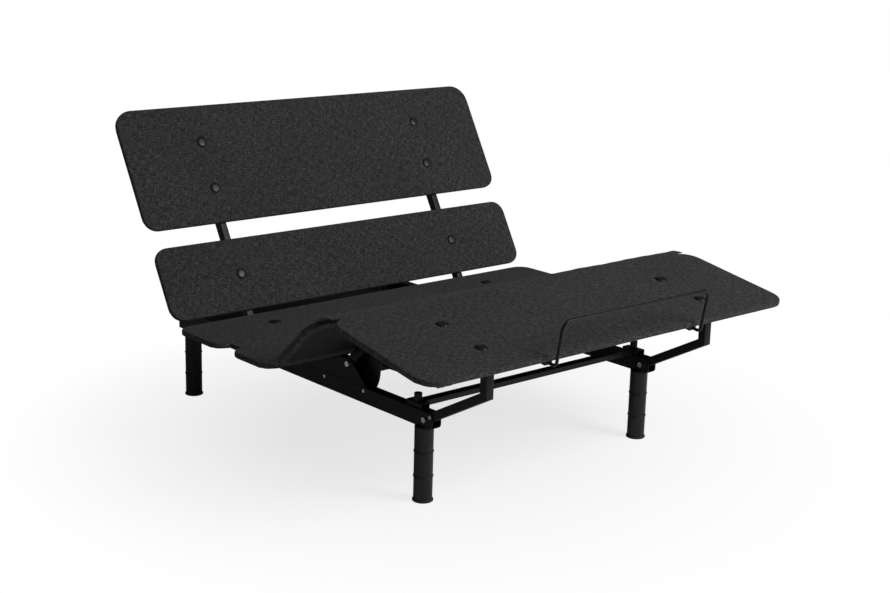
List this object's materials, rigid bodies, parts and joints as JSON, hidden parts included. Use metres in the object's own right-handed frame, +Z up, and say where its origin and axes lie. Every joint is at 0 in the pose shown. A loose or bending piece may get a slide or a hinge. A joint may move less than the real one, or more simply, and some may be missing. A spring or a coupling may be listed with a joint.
{
  "type": "adjustable bed base",
  "caption": "Adjustable bed base with cloth covered panels on a steel frame; the back lifts and the thigh and leg panels rise and fold on powered linkages.",
  "frame": {"origin": "centre of the footprint on the floor, with the bed in its stored raised pose", "axes": "+X across the bed, +Y to the head end, +Z up"},
  "size_m": [1.511, 1.7095, 1.0156],
  "materials": {
    "black_steel": "black satin powder coat",
    "zinc": "bright zinc plate",
    "bar_steel": "black semi-gloss powder coat",
    "board": "bare plywood, hidden under the cloth",
    "cloth": "charcoal woven upholstery",
    "moulded_plastic": "black moulded, soft sheen",
    "dark_rubber": "matt black rubber",
    "polished_rod": "ground and polished"
  },
  "bodies": {
    "base": {"actuator_cross_rails": "black_steel", "actuator_pins": "zinc", "back_hinge_plates": "black_steel", "control_box": "moulded_plastic", "deck_risers": "black_steel", "foot_bumpers": "dark_rubber", "foot_cross_rail": "black_steel", "foot_pads": "dark_rubber", "head_cross_rail": "black_steel", "hip_board": "board", "hip_cover": "cloth", "knee_gusset_left": "black_steel", "knee_gusset_right": "black_steel", "leg_mounts": "black_steel", "pivot_bolts": "zinc", "rail_end_caps": "moulded_plastic", "rail_screws": "zinc", "seat_board": "board", "seat_caps": "moulded_plastic", "seat_cover": "cloth", "seat_hip_cloth": "cloth", "seat_tubes": "black_steel", "side_rail_left": "black_steel", "side_rail_right": "black_steel", "support_leg_foot_left": "moulded_plastic", "support_leg_foot_right": "moulded_plastic", "support_leg_head_left": "moulded_plastic", "support_leg_head_right": "moulded_plastic"},
    "back_section": {"back_tube_left": "black_steel", "back_tube_right": "black_steel", "back_cross_tubes": "black_steel", "back_lift_lever": "black_steel", "back_caps": "moulded_plastic", "lower_back_board": "board", "lower_back_cover": "cloth", "upper_back_board": "board", "upper_back_cover": "cloth"},
    "thigh_section": {"thigh_tubes": "black_steel", "thigh_cross_tube": "black_steel", "thigh_quadrants": "black_steel", "thigh_lift_lever": "black_steel", "knee_hinge_plates": "black_steel", "knee_bolts": "zinc", "thigh_board": "board", "thigh_cover": "cloth", "thigh_fold_cloth": "cloth"},
    "leg_section": {"leg_tubes": "black_steel", "slide_plates": "black_steel", "leg_board": "board", "leg_cover": "cloth", "leg_caps": "moulded_plastic", "retainer_bar": "bar_steel", "retainer_clips": "moulded_plastic", "knee_fold_cloth": "cloth"},
    "foot_arm_left": {"foot_arm_left": "black_steel"},
    "foot_arm_right": {"foot_arm_right": "black_steel"},
    "head_actuator": {"head_actuator": "moulded_plastic"},
    "head_rod": {"head_actuator_rod": "polished_rod"},
    "knee_actuator": {"knee_actuator": "moulded_plastic"},
    "knee_rod": {"knee_actuator_rod": "polished_rod"}
  },
  "joints": [
    {"name": "back_lift", "type": "hinge", "parent": "base", "child": "back_section", "pos_m": [0, 0.43785, 0.336], "axis": [1, 0, 0], "range_deg": [-60.2, 0]},
    {"name": "thigh_lift", "type": "hinge", "parent": "base", "child": "thigh_section", "pos_m": [0, -0.11415, 0.336], "axis": [1, 0, 0], "range_deg": [0, 42.8], "deforming": ["thigh_fold_cloth"]},
    {"name": "leg_fold", "type": "hinge", "parent": "thigh_section", "child": "leg_section", "pos_m": [0, -0.34014, 0.54527], "axis": [1, 0, 0], "range_deg": [-53, 0], "deforming": ["knee_fold_cloth"]},
    {"name": "foot_arm_left_swing", "type": "hinge", "parent": "base", "child": "foot_arm_left", "pos_m": [0.461, -0.47665, 0.2566], "axis": [1, 0, 0], "range_deg": [0, 30.3]},
    {"name": "foot_arm_right_swing", "type": "hinge", "parent": "base", "child": "foot_arm_right", "pos_m": [-0.461, -0.47665, 0.2566], "axis": [1, 0, 0], "range_deg": [0, 30.3]},
    {"name": "head_actuator_swing", "type": "hinge", "parent": "base", "child": "head_actuator", "pos_m": [0.13, 0.03966, 0.215], "axis": [1, 0, 0], "range_deg": [0, 0.4128]},
    {"name": "head_rod_slide", "type": "slide", "parent": "head_actuator", "child": "head_rod", "axis": [0, 0.9998, 0.0184], "range_m": [-0.13037, 0]},
    {"name": "knee_actuator_swing", "type": "hinge", "parent": "base", "child": "knee_actuator", "pos_m": [-0.13, 0.20164, 0.215], "axis": [1, 0, 0], "range_deg": [-0.4754, 0]},
    {"name": "knee_rod_slide", "type": "slide", "parent": "knee_actuator", "child": "knee_rod", "axis": [0, -0.9997, 0.0258], "range_m": [-0.08754, 0]}
  ],
  "couplings": [
    {"joint": "leg_fold", "follows": "thigh_lift", "ratio": -1.2383},
    {"joint": "foot_arm_left_swing", "follows": "thigh_lift", "ratio": 0.7079},
    {"joint": "foot_arm_right_swing", "follows": "thigh_lift", "ratio": 0.7079},
    {"joint": "head_actuator_swing", "follows": "back_lift", "ratio": -0.006857},
    {"joint": "head_rod_slide", "follows": "back_lift", "m_per_rad": 0.12407},
    {"joint": "knee_actuator_swing", "follows": "thigh_lift", "ratio": -0.011105},
    {"joint": "knee_rod_slide", "follows": "thigh_lift", "m_per_rad": -0.11718}
  ]
}
